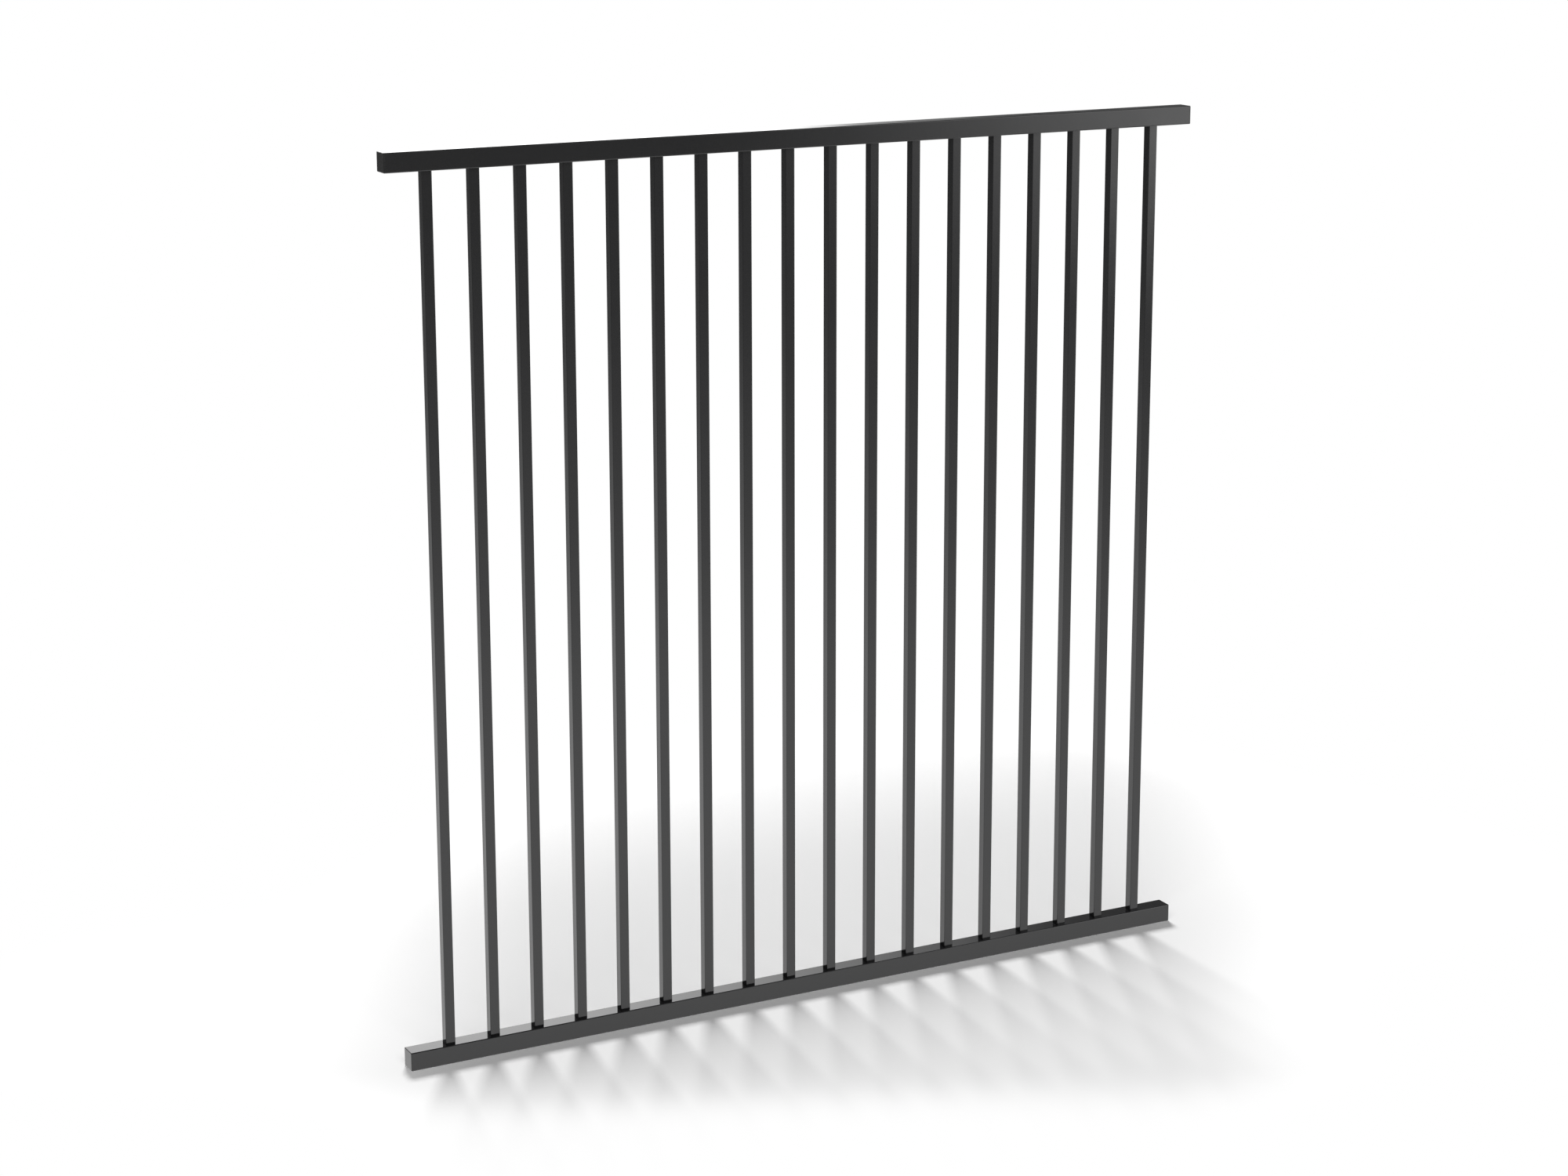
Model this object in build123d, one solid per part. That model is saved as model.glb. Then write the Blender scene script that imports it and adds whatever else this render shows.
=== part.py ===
from build123d import *
import math
import os

# Ornamental steel fence panel: two hollow rails, one over the other, joined by a row of square pickets.
# +X runs along the panel, +Y runs from the front to the back, +Z is up.
# The origin is the middle of the flat underside of the bottom rail. All sizes are in millimetres.

# Whole panel
overall_height = 1806.0
picket_count = 18
picket_pitch = 95.0
end_overhang = 87.0

# Rails: cold-formed square steel tube
rail_height = 38.0
rail_depth = 38.0
rail_wall = 1.5
rail_inner_radius = 0.5

# Pickets: square steel tube, its bore left with sharp corners
picket_width = 20.0
picket_wall = 1.2
picket_corner_radius = 1.5

# Square seats punched through one wall of each rail, cropped to follow the picket's round corners
seat_clearance = 0.3
picket_head_clearance = 0.3

# End caps: a face plate flush with the rail, with a hollow plug behind it that grips the bore by its ribs
cap_face_thickness = 3.0
cap_edge_radius = 1.5
plug_length = 18.0
plug_wall = 2.0
plug_clearance = 1.0
rib_count = 3
rib_spacing = 5.0
rib_thickness = 1.2
rib_clearance = 0.2

# Sizes that follow from the ones above
overall_length = (picket_count - 1) * picket_pitch + 2 * end_overhang
rail_tube_length = overall_length - 2 * cap_face_thickness
rail_outer_radius = rail_inner_radius + rail_wall
rail_bore_height = rail_height - 2 * rail_wall
rail_bore_depth = rail_depth - 2 * rail_wall
picket_bore_width = picket_width - 2 * picket_wall
picket_length = overall_height - 2 * rail_wall - picket_head_clearance
seat_width = picket_width + 2 * seat_clearance
seat_corner_crop = (picket_corner_radius + seat_clearance) * (2 - math.sqrt(2))
bottom_rail_centre = rail_height / 2
top_rail_centre = overall_height - rail_height / 2


def picket_position(index):
    """Distance of a picket's middle from the middle of the panel, along X."""
    return (index - (picket_count - 1) / 2) * picket_pitch


def cropped_rectangle(width, height, crop):
    """Rectangle with its four corners cut off at 45 degrees."""
    outline = Rectangle(width, height)
    return chamfer(outline.vertices(), crop)


def rail_outline():
    """Outside of the rail across its length, its depth along Y and its height along Z."""
    return Plane.YZ * RectangleRounded(rail_depth, rail_height, rail_outer_radius)


def rail_tube():
    """Plain rail tube along X with its middle at the origin."""
    bore = Plane.YZ * RectangleRounded(rail_bore_depth, rail_bore_height, rail_inner_radius)
    return extrude(rail_outline() - bore, rail_tube_length / 2, both=True)


def seat_punches():
    """The row of square punches that cut the seats through the upper wall of a rail."""
    punch_start = rail_bore_height / 2 - rail_wall
    punch = extrude(cropped_rectangle(seat_width, seat_width, seat_corner_crop), 3 * rail_wall)
    return [Pos(picket_position(index), 0, punch_start) * punch for index in range(picket_count)]


def punched_rail():
    """Rail tube with a square seat in its upper wall for each picket."""
    return rail_tube() - seat_punches()


def picket_tube():
    """Square tube with open ends, its foot at the origin and its length along +Z."""
    outside = RectangleRounded(picket_width, picket_width, picket_corner_radius)
    bore = Rectangle(picket_bore_width, picket_bore_width)
    return extrude(outside - bore, picket_length)


def cap_plate():
    """Face of a cap: the rail's own outline, with its outer edge rounded. It is flush with X = 0."""
    plate = extrude(rail_outline(), -cap_face_thickness)
    return fillet(plate.faces().sort_by(Axis.X)[-1].edges(), cap_edge_radius)


def cap_plug():
    """Hollow plug that reaches into the rail's bore from X = 0 towards -X, and grips it with ribs."""
    plug_depth = rail_bore_depth - 2 * plug_clearance
    plug_height = rail_bore_height - 2 * plug_clearance
    hollow = Rectangle(plug_depth - 2 * plug_wall, plug_height - 2 * plug_wall)
    body = extrude(Plane.YZ * (Rectangle(plug_depth, plug_height) - hollow), -plug_length)

    rib_depth = rail_bore_depth - 2 * rib_clearance
    rib_height = rail_bore_height - 2 * rib_clearance
    rib_outline = cropped_rectangle(rib_depth, rib_height, rail_inner_radius)
    rib = extrude(Plane.YZ * (rib_outline - hollow), -rib_thickness)
    return body + [Pos(-(index + 1) * rib_spacing, 0, 0) * rib for index in range(rib_count)]


def end_cap():
    """Cap for the +X end of a rail, its outer face at X = 0 and its plug reaching towards -X."""
    return cap_plate() + Pos(-cap_face_thickness, 0, 0) * cap_plug()


# Bottom rail: the seats open upwards. Top rail: the same tube turned over, so its seats open downwards.
bottom_rail = Pos(0, 0, bottom_rail_centre) * punched_rail()
top_rail = Pos(0, 0, top_rail_centre) * Rot(180, 0, 0) * punched_rail()

nodes = {"bottom_rail": bottom_rail, "top_rail": top_rail}

# Pickets: each stands on the lower wall of the bottom rail and ends just under the top rail's upper wall.
picket = picket_tube()
for index in range(picket_count):
    nodes[f"picket_{index + 1:02d}"] = Pos(picket_position(index), 0, rail_wall) * picket

# End caps: one at each end of each rail
right_cap = end_cap()
left_cap = Rot(0, 0, 180) * right_cap
for rail_name, height in (("bottom_rail", bottom_rail_centre), ("top_rail", top_rail_centre)):
    nodes[f"{rail_name}_left_cap"] = Pos(-overall_length / 2, 0, height) * left_cap
    nodes[f"{rail_name}_right_cap"] = Pos(overall_length / 2, 0, height) * right_cap

os.makedirs("parts", exist_ok=True)
for name, shape in nodes.items():
    shape.label = name
    export_step(shape, f"parts/{name}.step")
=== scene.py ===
"""Looks for the ornamental steel fence panel: two powder-coated rails, eighteen pickets and four end caps.

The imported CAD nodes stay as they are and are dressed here. +X runs along the panel, +Y from the front to the
back, +Z is up, and the origin is the middle of the bottom rail's underside. Lengths are in metres.
"""

from __future__ import annotations

import logging
import math
from dataclasses import dataclass, field
from enum import Enum
from typing import Any

import bmesh
import bpy
from mathutils import Matrix, Vector

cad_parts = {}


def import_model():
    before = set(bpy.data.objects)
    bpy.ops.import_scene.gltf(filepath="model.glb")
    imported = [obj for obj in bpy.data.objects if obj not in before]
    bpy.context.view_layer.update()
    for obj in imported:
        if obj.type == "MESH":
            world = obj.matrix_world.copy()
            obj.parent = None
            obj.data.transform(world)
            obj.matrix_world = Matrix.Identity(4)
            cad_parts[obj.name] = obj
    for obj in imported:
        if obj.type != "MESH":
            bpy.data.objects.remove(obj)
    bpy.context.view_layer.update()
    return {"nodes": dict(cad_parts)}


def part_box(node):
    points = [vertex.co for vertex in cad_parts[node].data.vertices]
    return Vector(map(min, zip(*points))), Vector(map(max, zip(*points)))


LOG = logging.getLogger("fence_panel")

MILLIMETRE = 0.001
WHITE = (1.0, 1.0, 1.0, 1.0)
# Most of a noise node's values lie between these two.
NOISE_LOW = 0.3
NOISE_HIGH = 0.7


class RailLevel(Enum):
    """The two rails, by the name of their CAD node."""

    BOTTOM = "bottom_rail"
    TOP = "top_rail"


class Side(Enum):
    """The two ends of a rail, as their end caps are named."""

    LEFT = "left"
    RIGHT = "right"


class MixKind(Enum):
    """What a mix node mixes: Blender's name for it, and the places of its two inputs and its output.

    The node's sockets share their names between the kinds, so they are picked by place.
    """

    VALUE = ("FLOAT", 2, 3, 0)
    COLOUR = ("RGBA", 6, 7, 2)


def srgb_to_linear(hex_colour: str) -> tuple[float, float, float, float]:
    """Turn an sRGB hex colour into the linear colour that Blender's sockets take.

    Args:
        hex_colour: Six hex digits after a hash sign.

    Returns:
        Linear red, green and blue, and an alpha of 1.
    """
    channels = []
    for start in (1, 3, 5):
        value = int(hex_colour[start : start + 2], 16) / 255.0
        # The numbers are the sRGB curve's own.
        channels.append(value / 12.92 if value <= 0.04045 else ((value + 0.055) / 1.055) ** 2.4)
    return channels[0], channels[1], channels[2], 1.0


def heading(azimuth: float, elevation: float = 0.0) -> Vector:
    """Turn two angles into a direction.

    Args:
        azimuth: Degrees from +Y towards +X.
        elevation: Degrees above the floor.

    Returns:
        The direction, one metre long.
    """
    turn = math.radians(azimuth)
    rise = math.radians(elevation)
    return Vector((math.sin(turn) * math.cos(rise), math.cos(turn) * math.cos(rise), math.sin(rise)))


def add_node(
    tree: bpy.types.NodeTree,
    kind: str,
    settings: dict[str, Any] | None = None,
    inputs: dict[str | int, Any] | None = None,
) -> bpy.types.Node:
    """Add one node to a tree, with its settings, its constant inputs and its links.

    Args:
        tree: The node tree that takes the node.
        kind: Blender's type name of the node.
        settings: Attributes of the node itself.
        inputs: What goes into each input: another node's socket, or a constant.

    Returns:
        The new node.
    """
    node = tree.nodes.new(kind)
    for name, value in (settings or {}).items():
        setattr(node, name, value)
    for name, value in (inputs or {}).items():
        if isinstance(value, bpy.types.NodeSocket):
            tree.links.new(value, node.inputs[name])
        else:
            node.inputs[name].default_value = value
    return node


def calculate(tree: bpy.types.NodeTree, operation: str, *operands: Any) -> bpy.types.NodeSocket:
    """Add a calculation with plain numbers.

    Args:
        tree: The node tree.
        operation: Blender's name of the calculation.
        operands: What it works on, each a socket or a constant.

    Returns:
        The result.
    """
    node = add_node(tree, "ShaderNodeMath", {"operation": operation}, dict(enumerate(operands)))
    return node.outputs[0]


def ease(
    tree: bpy.types.NodeTree,
    value: bpy.types.NodeSocket,
    span: tuple[float, float],
    before: float = 0.0,
    after: float = 1.0,
) -> bpy.types.NodeSocket:
    """Add a soft step from one level to another.

    Args:
        tree: The node tree.
        value: What the step depends on.
        span: The values at which the step starts and ends.
        before: The level up to the start.
        after: The level from the end on.

    Returns:
        The level.
    """
    return add_node(
        tree,
        "ShaderNodeMapRange",
        {"interpolation_type": "SMOOTHSTEP"},
        {"Value": value, "From Min": span[0], "From Max": span[1], "To Min": before, "To Max": after},
    ).outputs["Result"]


def mix(
    tree: bpy.types.NodeTree, kind: MixKind, factor: bpy.types.NodeSocket, first: Any, second: Any
) -> bpy.types.NodeSocket:
    """Add a blend of two values or colours.

    Args:
        tree: The node tree.
        kind: What is mixed.
        factor: 0 for all of the first, 1 for all of the second.
        first: The first value or colour, a socket or a constant.
        second: The second one.

    Returns:
        The blend.
    """
    data_type, first_place, second_place, result_place = kind.value
    inputs = {0: factor, first_place: first, second_place: second}
    return add_node(tree, "ShaderNodeMix", {"data_type": data_type}, inputs).outputs[result_place]


def mix_shaders(
    tree: bpy.types.NodeTree,
    factor: bpy.types.NodeSocket,
    first: bpy.types.NodeSocket,
    second: bpy.types.NodeSocket,
) -> bpy.types.NodeSocket:
    """Add a blend of two shaders.

    Args:
        tree: The node tree.
        factor: 0 for all of the first, 1 for all of the second.
        first: The first shader.
        second: The second shader.

    Returns:
        The blend.
    """
    return add_node(tree, "ShaderNodeMixShader", inputs={0: factor, 1: first, 2: second}).outputs[0]


def emit(tree: bpy.types.NodeTree, strength: Any) -> bpy.types.NodeSocket:
    """Add a white emission.

    Args:
        tree: The node tree.
        strength: Its radiance, a socket or a constant.

    Returns:
        The emission's shader.
    """
    return add_node(tree, "ShaderNodeEmission", inputs={"Color": WHITE, "Strength": strength}).outputs[0]


def new_material(name: str) -> tuple[bpy.types.Material, bpy.types.NodeTree]:
    """Make an empty node material.

    Args:
        name: The material's name.

    Returns:
        The material and its node tree, with no node in it.
    """
    material = bpy.data.materials.new(name)
    material.use_nodes = True
    material.node_tree.nodes.clear()
    return material, material.node_tree


@dataclass(frozen=True)
class Noise:
    """A soft random pattern fixed to the piece, with blotches of about one wave in size.

    Detail, roughness and distortion are the noise node's own.
    """

    wave: float
    detail: float = 2.0
    roughness: float = 0.5
    distortion: float = 0.0

    def build(self, tree: bpy.types.NodeTree, place: bpy.types.NodeSocket) -> bpy.types.NodeSocket:
        """Add the pattern's node.

        Args:
            tree: The material's node tree.
            place: The point on the piece.

        Returns:
            The pattern's value, mostly from NOISE_LOW to NOISE_HIGH.
        """
        return add_node(
            tree,
            "ShaderNodeTexNoise",
            inputs={
                "Vector": place,
                "Scale": 1.0 / self.wave,
                "Detail": self.detail,
                "Roughness": self.roughness,
                "Distortion": self.distortion,
            },
        ).outputs["Fac"]


@dataclass(frozen=True)
class Finish:
    """A glossy skin: its roughness, its colour and its relief each follow a noise."""

    name: str
    pigment: str
    pigment_high: str
    ior: float
    roughness: float
    roughness_spread: float
    relief_height: float
    gloss_noise: Noise
    colour_noise: Noise
    relief_noise: Noise

    def build(self) -> bpy.types.Material:
        """Build the node material.

        Returns:
            The finished material.
        """
        material, tree = new_material(self.name)
        place = add_node(tree, "ShaderNodeTexCoord").outputs["Object"]
        patterns: dict[Noise, bpy.types.NodeSocket] = {}
        for noise in (self.gloss_noise, self.colour_noise, self.relief_noise):
            if noise not in patterns:
                patterns[noise] = noise.build(tree, place)
        gloss = add_node(
            tree,
            "ShaderNodeMapRange",
            inputs={
                "Value": patterns[self.gloss_noise],
                "From Min": NOISE_LOW,
                "From Max": NOISE_HIGH,
                "To Min": self.roughness - self.roughness_spread / 2.0,
                "To Max": self.roughness + self.roughness_spread / 2.0,
            },
        ).outputs["Result"]
        colours = srgb_to_linear(self.pigment), srgb_to_linear(self.pigment_high)
        colour = mix(tree, MixKind.COLOUR, patterns[self.colour_noise], *colours)
        relief = add_node(
            tree,
            "ShaderNodeBump",
            inputs={
                "Strength": 1.0,
                "Distance": self.relief_height,
                "Height": patterns[self.relief_noise],
            },
        ).outputs["Normal"]
        shader = add_node(
            tree,
            "ShaderNodeBsdfPrincipled",
            inputs={"Base Color": colour, "Roughness": gloss, "IOR": self.ior, "Normal": relief},
        ).outputs["BSDF"]
        add_node(tree, "ShaderNodeOutputMaterial", inputs={"Surface": shader})
        return material


def powder_coat(name: str, peel_wave: float) -> Finish:
    """Describe gloss black polyester powder, sprayed on steel tube and baked.

    The baked film is a smooth, hard dielectric: near black where it mirrors nothing, mirror-like at a
    grazing view. It levels almost flat, and what is left is orange peel, a faint ripple that softens a
    reflection's edge.

    Args:
        name: The material's name.
        peel_wave: How long the waves of the orange peel are drawn.

    Returns:
        The finish.
    """
    peel = Noise(peel_wave, detail=1.0, roughness=0.4)
    return Finish(
        name,
        pigment="#19191A",
        pigment_high="#1F1F20",
        ior=1.5,
        roughness=0.11,
        roughness_spread=0.035,
        relief_height=0.012 * MILLIMETRE,
        # The film's thickness drifts along a tube over a hand's width as the spray gun passes.
        gloss_noise=Noise(110.0 * MILLIMETRE),
        colour_noise=peel,
        relief_noise=peel,
    )


def moulded_plastic(name: str) -> Finish:
    """Describe black polypropylene, moulded against a polished steel tool.

    The skin is a little less glossy than the powder coat beside it and a shade lighter, and it carries the
    tool's fine grain.

    Args:
        name: The material's name.

    Returns:
        The finish.
    """
    # Flow streaks spread from the gate in the middle of the cap, one each few millimetres.
    flow = Noise(14.0 * MILLIMETRE, detail=3.0, distortion=0.6)
    return Finish(
        name,
        pigment="#1B1B1B",
        pigment_high="#212122",
        ior=1.49,
        roughness=0.19,
        roughness_spread=0.06,
        relief_height=0.006 * MILLIMETRE,
        gloss_noise=flow,
        colour_noise=flow,
        # The tool's grain is about 0.2 mm. It is drawn 3 mm wide, the least that shows at one pixel.
        relief_noise=Noise(3.0 * MILLIMETRE),
    )


def dress(node: bpy.types.Object, material: bpy.types.Material) -> None:
    """Give a CAD node a finish in place of the plain one it was packed with.

    Args:
        node: The CAD node's object.
        material: The finish.
    """
    if not node.material_slots:
        node.data.materials.append(material)
    for slot in node.material_slots:
        slot.material = material
    low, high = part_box(node.name)
    size = [round((high[axis] - low[axis]) / MILLIMETRE, 1) for axis in range(3)]
    LOG.info("%s: %s, %s mm", node.name, material.name, size)


@dataclass
class Rail:
    """One hollow rail with the caps in its two ends."""

    level: RailLevel
    coat: bpy.types.Material
    plastic: bpy.types.Material

    def dress(self, nodes: dict[str, bpy.types.Object]) -> None:
        """Coat the tube and give its caps their plastic.

        Args:
            nodes: The CAD nodes by name.
        """
        dress(nodes[self.level.value], self.coat)
        for side in Side:
            dress(nodes[f"{self.level.value}_{side.value}_cap"], self.plastic)


@dataclass
class PicketRow:
    """The row of upright square pickets between the rails."""

    coat: bpy.types.Material
    count: int = 18

    def dress(self, nodes: dict[str, bpy.types.Object]) -> None:
        """Coat each picket.

        Args:
            nodes: The CAD nodes by name.
        """
        for number in range(1, self.count + 1):
            dress(nodes[f"picket_{number:02d}"], self.coat)


@dataclass(frozen=True)
class PaintedPoolEdge:
    """One edge of the painted pool of shade on the floor: past the edge, white is painted over the floor.

    Azimuth runs from +Y towards +X, in degrees. Span is where the edge starts and ends, in metres from the
    middle in that direction, and lift is the white that the edge adds past its end.
    """

    azimuth: float
    span: tuple[float, float]
    lift: float


@dataclass
class StudioFloor:
    """Pale round floor under the panel.

    Seen straight it is the lamp-lit paint in a painted pool of shade round the panel, and past that painted
    white that runs into the white background. In reflections it is a painted glow in place of the lit paint:
    bright round the panel and dimmer with distance, a little brighter in front than behind.
    """

    radius: float = 9.0
    edge_count: int = 96
    tint: str = "#FAFAFA"
    # From the middle outwards: distance in metres, and the radiance of the painted glow that reflections show
    # in place of the floor.
    painted_reflection_profile: tuple[tuple[float, float], ...] = (
        (0.0, 1.25),
        (1.3, 1.25),
        (2.4, 1.12),
        (4.2, 0.70),
        (6.6, 0.42),
        (9.0, 0.25),
    )
    # How much brighter the painted reflection glow is in front, and the strip along Y over which that eases
    # off towards the back.
    painted_reflection_front_gain: float = 0.25
    painted_reflection_front_strip: tuple[float, float] = (-0.3, 0.3)
    # The floor round the panel is a painted pool of soft shade: inside it the floor keeps its lamp-lit level,
    # and past its edges white is painted on. In front it fades straight away from the panel and, as on the
    # left and right, square to the line of sight.
    painted_pool_edges: tuple[PaintedPoolEdge, ...] = (
        PaintedPoolEdge(azimuth=0.0, span=(0.60, 2.10), lift=0.35),
        PaintedPoolEdge(azimuth=180.0, span=(0.00, 0.70), lift=0.13),
        PaintedPoolEdge(azimuth=207.5, span=(0.40, 0.73), lift=0.21),
        PaintedPoolEdge(azimuth=-62.5, span=(0.55, 1.25), lift=0.32),
        PaintedPoolEdge(azimuth=117.5, span=(0.65, 1.30), lift=0.30),
    )
    # Distances from the middle between which the floor goes over to plain white on all sides.
    whiten_far: tuple[float, float] = (1.60, 3.50)
    # The added white that starts to hide the paint, and the one that hides it all. There the floor is
    # exactly as white as the background, so it doesn't eat into the pickets' edges.
    paint_hidden: tuple[float, float] = (0.12, 0.40)

    def build(self) -> bpy.types.Object:
        """Build the floor.

        Returns:
            The floor's object.
        """
        mesh = bpy.data.meshes.new("studio_floor")
        shape = bmesh.new()
        bmesh.ops.create_circle(shape, cap_ends=True, segments=self.edge_count, radius=self.radius)
        shape.to_mesh(mesh)
        shape.free()
        floor = bpy.data.objects.new("studio_floor", mesh)
        bpy.context.scene.collection.objects.link(floor)
        mesh.materials.append(self.material())
        LOG.info("studio_floor: %.1f m across", 2.0 * self.radius)
        return floor

    def painted_reflection_radiance(
        self, tree: bpy.types.NodeTree, place: bpy.types.NodeSocket, distance: bpy.types.NodeSocket
    ) -> bpy.types.NodeSocket:
        """Add the nodes of the painted glow that the coat mirrors in place of the floor.

        Args:
            tree: The floor's node tree.
            place: The point on the floor.
            distance: How far that point is from the middle.

        Returns:
            The radiance.
        """
        share = calculate(tree, "DIVIDE", distance, self.radius)
        profile = add_node(tree, "ShaderNodeValToRGB", inputs={"Fac": share})
        ramp = profile.color_ramp
        while len(ramp.elements) < len(self.painted_reflection_profile):
            ramp.elements.new(1.0)
        for element, (reach, level) in zip(ramp.elements, self.painted_reflection_profile):
            element.position = reach / self.radius
            element.color = (level, level, level, 1.0)
        back = add_node(tree, "ShaderNodeSeparateXYZ", inputs={"Vector": place}).outputs["Y"]
        gain = ease(tree, back, self.painted_reflection_front_strip, before=self.painted_reflection_front_gain, after=0.0)
        return calculate(tree, "ADD", profile.outputs["Color"], gain)

    def added_white(
        self, tree: bpy.types.NodeTree, place: bpy.types.NodeSocket, distance: bpy.types.NodeSocket
    ) -> bpy.types.NodeSocket:
        """Add the nodes of the painted white that takes the floor to plain white away from the panel's shadows
        and leaves a painted pool of shade round the panel.

        Args:
            tree: The floor's node tree.
            place: The point on the floor.
            distance: How far that point is from the middle.

        Returns:
            The radiance to add: next to none in the pool of shade, and over 1 far out.
        """
        white = ease(tree, distance, self.whiten_far)
        for edge in self.painted_pool_edges:
            reach = add_node(
                tree,
                "ShaderNodeVectorMath",
                {"operation": "DOT_PRODUCT"},
                {0: place, 1: heading(edge.azimuth)},
            ).outputs["Value"]
            white = calculate(tree, "ADD", white, ease(tree, reach, edge.span, after=edge.lift))
        return white

    def material(self) -> bpy.types.Material:
        """Build the floor's paint.

        Returns:
            The material.
        """
        material, tree = new_material("matt_white_floor_paint")
        place = add_node(tree, "ShaderNodeTexCoord").outputs["Object"]
        path = add_node(tree, "ShaderNodeLightPath").outputs
        length = add_node(tree, "ShaderNodeVectorMath", {"operation": "LENGTH"}, {0: place})
        distance = length.outputs["Value"]

        # Painted white, for the camera only: past the pool's edges it is added to the lamp-lit floor, which
        # leaves a painted pool of shade round the panel.
        added = calculate(
            tree, "MULTIPLY", self.added_white(tree, place, distance), path["Is Camera Ray"]
        )
        paint = add_node(tree, "ShaderNodeBsdfDiffuse", inputs={"Color": srgb_to_linear(self.tint)})
        lit = add_node(tree, "ShaderNodeAddShader", inputs={0: paint.outputs[0], 1: emit(tree, added)})
        hidden = ease(tree, added, self.paint_hidden)
        plain = mix_shaders(tree, hidden, lit.outputs[0], emit(tree, 1.0))

        # Painted reflection: glossy rays see a glow of set radiance in place of the lit floor.
        painted_reflection = emit(tree, self.painted_reflection_radiance(tree, place, distance))
        shown = mix_shaders(tree, path["Is Glossy Ray"], plain, painted_reflection)
        add_node(tree, "ShaderNodeOutputMaterial", inputs={"Surface": shown})
        material.cycles.emission_sampling = "NONE"
        return material


@dataclass(frozen=True)
class LightPanel:
    """A soft-edged bright part of the studio's surround.

    Azimuths run from +Y towards +X, and every angle is in degrees. Each pair is where the panel starts to
    show and where it is full, or where it starts to fade and where it is gone.
    """

    azimuth_in: tuple[float, float]
    azimuth_out: tuple[float, float]
    elevation_in: tuple[float, float]
    elevation_out: tuple[float, float]
    radiance: float

    def build(
        self,
        tree: bpy.types.NodeTree,
        azimuth: bpy.types.NodeSocket,
        elevation: bpy.types.NodeSocket,
    ) -> bpy.types.NodeSocket:
        """Add the panel's nodes.

        Args:
            tree: The world's node tree.
            azimuth: The direction's azimuth in radians.
            elevation: The direction's elevation in radians.

        Returns:
            The panel's radiance in that direction.
        """
        lit: Any = self.radiance
        edges = (
            (azimuth, self.azimuth_in, 0.0, 1.0),
            (azimuth, self.azimuth_out, 1.0, 0.0),
            (elevation, self.elevation_in, 0.0, 1.0),
            (elevation, self.elevation_out, 1.0, 0.0),
        )
        for angle, (start, end), before, after in edges:
            span = math.radians(start), math.radians(end)
            lit = calculate(tree, "MULTIPLY", lit, ease(tree, angle, span, before, after))
        return lit


# Spans that some panels of the surround share, in degrees. An edge outside -180 to 180 of azimuth or under
# -90 of elevation never shows, so the panel has no end on that side.
ALL_ROUND_START = (-200.0, -190.0)
ALL_ROUND_END = (190.0, 200.0)
STRAIGHT_DOWN = (-91.0, -90.0)
BACK_PANEL_LEFT = (-24.0, -9.0)
BACK_PANEL_FOOT = (-1.0, 3.0)
BACK_PANEL_WAIST = (8.0, 14.0)
WALL_FOOT = (-30.0, -20.0)
WALL_TOP = (30.0, 60.0)


@dataclass
class StudioSurround:
    """What stands round the panel: white to the eye, in reflections a dim room with large lit panels.

    Matt surfaces get an even fill from it, and their main light from the lamps.
    """

    fill_radiance: float = 0.035
    room_radiance: float = 0.115
    panels: tuple[LightPanel, ...] = field(
        default_factory=lambda: (
            # Tall panel behind, left of the line of sight. The rails' upper faces mirror it: its foot has
            # the crisp right edge that the top rail shows, and its upper part the soft one on the bottom
            # rail.
            LightPanel(BACK_PANEL_LEFT, (26.8, 29.3), BACK_PANEL_FOOT, BACK_PANEL_WAIST, radiance=2.35),
            LightPanel(BACK_PANEL_LEFT, (28.5, 32.0), BACK_PANEL_FOOT, BACK_PANEL_WAIST, radiance=0.35),
            LightPanel(BACK_PANEL_LEFT, (21.0, 34.0), BACK_PANEL_WAIST, (30.0, 42.0), radiance=2.7),
            # Panel in front, on the right. The right half of the front faces mirrors it.
            LightPanel((80.0, 100.0), (141.5, 154.0), (-9.4, -6.2), (35.0, 60.0), radiance=2.85),
            # Dim wall in front, on both sides of straight ahead.
            LightPanel((90.0, 110.0), ALL_ROUND_END, WALL_FOOT, WALL_TOP, radiance=0.25),
            LightPanel(ALL_ROUND_START, (-110.0, -90.0), WALL_FOOT, WALL_TOP, radiance=0.28),
            # The floor's glow under the horizon, past its edge, with more of it behind on the left.
            LightPanel(ALL_ROUND_START, ALL_ROUND_END, STRAIGHT_DOWN, (-10.5, -5.5), radiance=0.14),
            LightPanel((-80.0, -60.0), (-12.0, -2.0), STRAIGHT_DOWN, (-10.5, -4.5), radiance=0.07),
        )
    )

    def build(self) -> None:
        """Build the world."""
        world = bpy.data.worlds.new("studio_surround")
        world.use_nodes = True
        tree = world.node_tree
        tree.nodes.clear()
        direction = add_node(tree, "ShaderNodeTexCoord").outputs["Generated"]
        axes = add_node(tree, "ShaderNodeSeparateXYZ", inputs={"Vector": direction}).outputs
        azimuth = calculate(tree, "ARCTAN2", axes["X"], axes["Y"])
        elevation = calculate(tree, "ARCSINE", axes["Z"])
        radiance: Any = self.room_radiance
        for panel in self.panels:
            radiance = calculate(tree, "ADD", radiance, panel.build(tree, azimuth, elevation))
        path = add_node(tree, "ShaderNodeLightPath").outputs
        unseen = mix(tree, MixKind.VALUE, path["Is Glossy Ray"], self.fill_radiance, radiance)
        shown = mix(tree, MixKind.VALUE, path["Is Camera Ray"], unseen, 1.0)
        room = add_node(tree, "ShaderNodeBackground", inputs={"Color": WHITE, "Strength": shown})
        add_node(tree, "ShaderNodeOutputWorld", inputs={"Surface": room.outputs[0]})
        # Each ray looks the surround up by its own kind, so matt surfaces get the fill and gloss the panels.
        world.cycles.sampling_method = "NONE"
        bpy.context.scene.world = world
        LOG.info("studio_surround: %d panels", len(self.panels))


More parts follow.
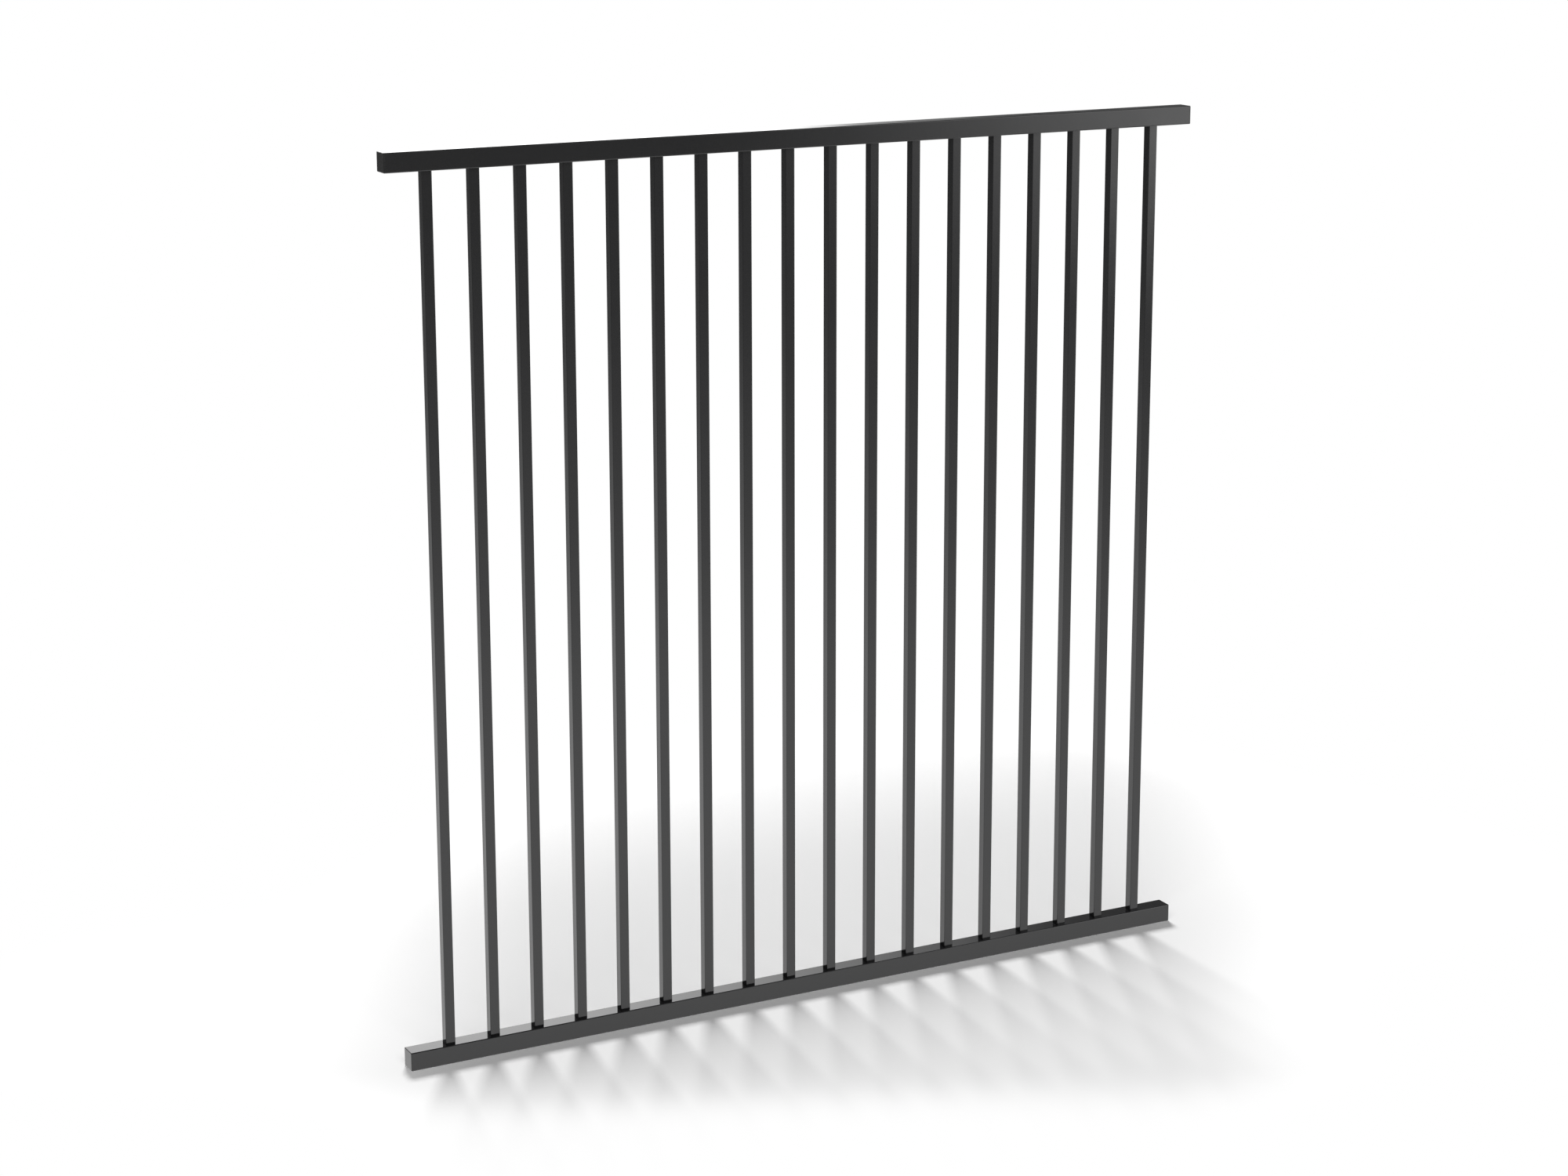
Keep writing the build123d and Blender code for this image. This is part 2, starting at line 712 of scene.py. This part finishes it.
@dataclass(frozen=True)
class SoftLamp:
    """A rectangular soft lamp that faces the middle of the panel's foot.

    Azimuth runs from +Y towards +X, and both angles are in degrees. The lamp lights the scene, and the
    surround's panels are what the coat mirrors.
    """

    name: str
    azimuth: float
    elevation: float
    distance: float
    width: float
    height: float
    # In watts.
    power: float

    def hang(self) -> None:
        """Put the lamp in the scene."""
        lamp = bpy.data.lights.new(self.name, "AREA")
        lamp.shape = "RECTANGLE"
        lamp.size = self.width
        lamp.size_y = self.height
        lamp.energy = self.power
        outwards = heading(self.azimuth, self.elevation)
        holder = bpy.data.objects.new(self.name, lamp)
        holder.location = outwards * self.distance
        holder.rotation_euler = outwards.to_track_quat("Z", "Y").to_euler()
        holder.visible_camera = False
        holder.visible_glossy = False
        bpy.context.scene.collection.objects.link(holder)
        LOG.info("%s: %.1f x %.1f m, %.0f W", self.name, self.width, self.height, self.power)


LAMPS: tuple[SoftLamp, ...] = (
    # Bank of lamps high behind the panel. It throws the pickets' fanned shadows towards the viewer.
    SoftLamp("back_bank", azimuth=16.5, elevation=41.0, distance=12.0, width=3.6, height=3.6, power=1240.0),
    # Large soft box in front. It gives the broad grey shade behind the panel.
    SoftLamp("front_box", azimuth=207.0, elevation=42.0, distance=12.0, width=11.0, height=5.0, power=665.0),
)


@dataclass(frozen=True)
class PhotoCamera:
    """The camera at the photograph's place: angles are in degrees, and yaw runs from +Y towards +X."""

    position: tuple[float, float, float] = (-2.88957, -5.43456, 2.46958)
    yaw: float = 27.526
    pitch: float = -13.080
    roll: float = -0.107
    # In millimetres, as Blender's lens takes them.
    focal_length: float = 71.674
    sensor_width: float = 36.0
    # Lens shift upwards, as a share of the picture's width.
    rise: float = -0.0521
    farthest: float = 200.0

    def place(self) -> bpy.types.Object:
        """Build the camera and make it the scene's own.

        Returns:
            The camera's object.
        """
        lens = bpy.data.cameras.new("photo_camera")
        lens.sensor_fit = "HORIZONTAL"
        lens.sensor_width = self.sensor_width
        lens.lens = self.focal_length
        lens.shift_y = self.rise
        lens.clip_end = self.farthest
        lens.dof.use_dof = False
        camera = bpy.data.objects.new("photo_camera", lens)
        forward = heading(self.yaw, self.pitch)
        yaw, roll = math.radians(self.yaw), math.radians(self.roll)
        level_right = Vector((math.cos(yaw), -math.sin(yaw), 0.0))
        level_up = level_right.cross(forward)
        right = level_right * math.cos(roll) + level_up * math.sin(roll)
        up = level_up * math.cos(roll) - level_right * math.sin(roll)
        turn = Matrix((right, up, -forward)).transposed()
        camera.matrix_world = Matrix.Translation(self.position) @ turn.to_4x4()
        bpy.context.scene.collection.objects.link(camera)
        bpy.context.scene.camera = camera
        LOG.info("photo_camera: %.1f mm lens", self.focal_length)
        return camera


def main() -> None:
    """Dress the panel, build the studio and report each piece."""
    logging.basicConfig(level=logging.INFO, format="%(name)s: %(message)s")
    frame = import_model()
    nodes = frame["nodes"]

    # Orange peel on gloss powder has waves 2 to 4 mm long. They are drawn 9 mm long on the rails and 7 mm
    # long on the pickets, because the picture has about 3 mm to a pixel.
    rail_coat = powder_coat("gloss_black_powder_coated_rail_tube", 9.0 * MILLIMETRE).build()
    picket_coat = powder_coat("gloss_black_powder_coated_picket_tube", 7.0 * MILLIMETRE).build()
    cap_plastic = moulded_plastic("moulded_black_polypropylene").build()
    for level in RailLevel:
        Rail(level, rail_coat, cap_plastic).dress(nodes)
    PicketRow(picket_coat).dress(nodes)

    StudioFloor().build()
    StudioSurround().build()
    for lamp in LAMPS:
        lamp.hang()
    PhotoCamera().place()
    bpy.context.scene.view_settings.view_transform = "Standard"

    bpy.context.view_layer.update()


if __name__ == "__main__":
    main()
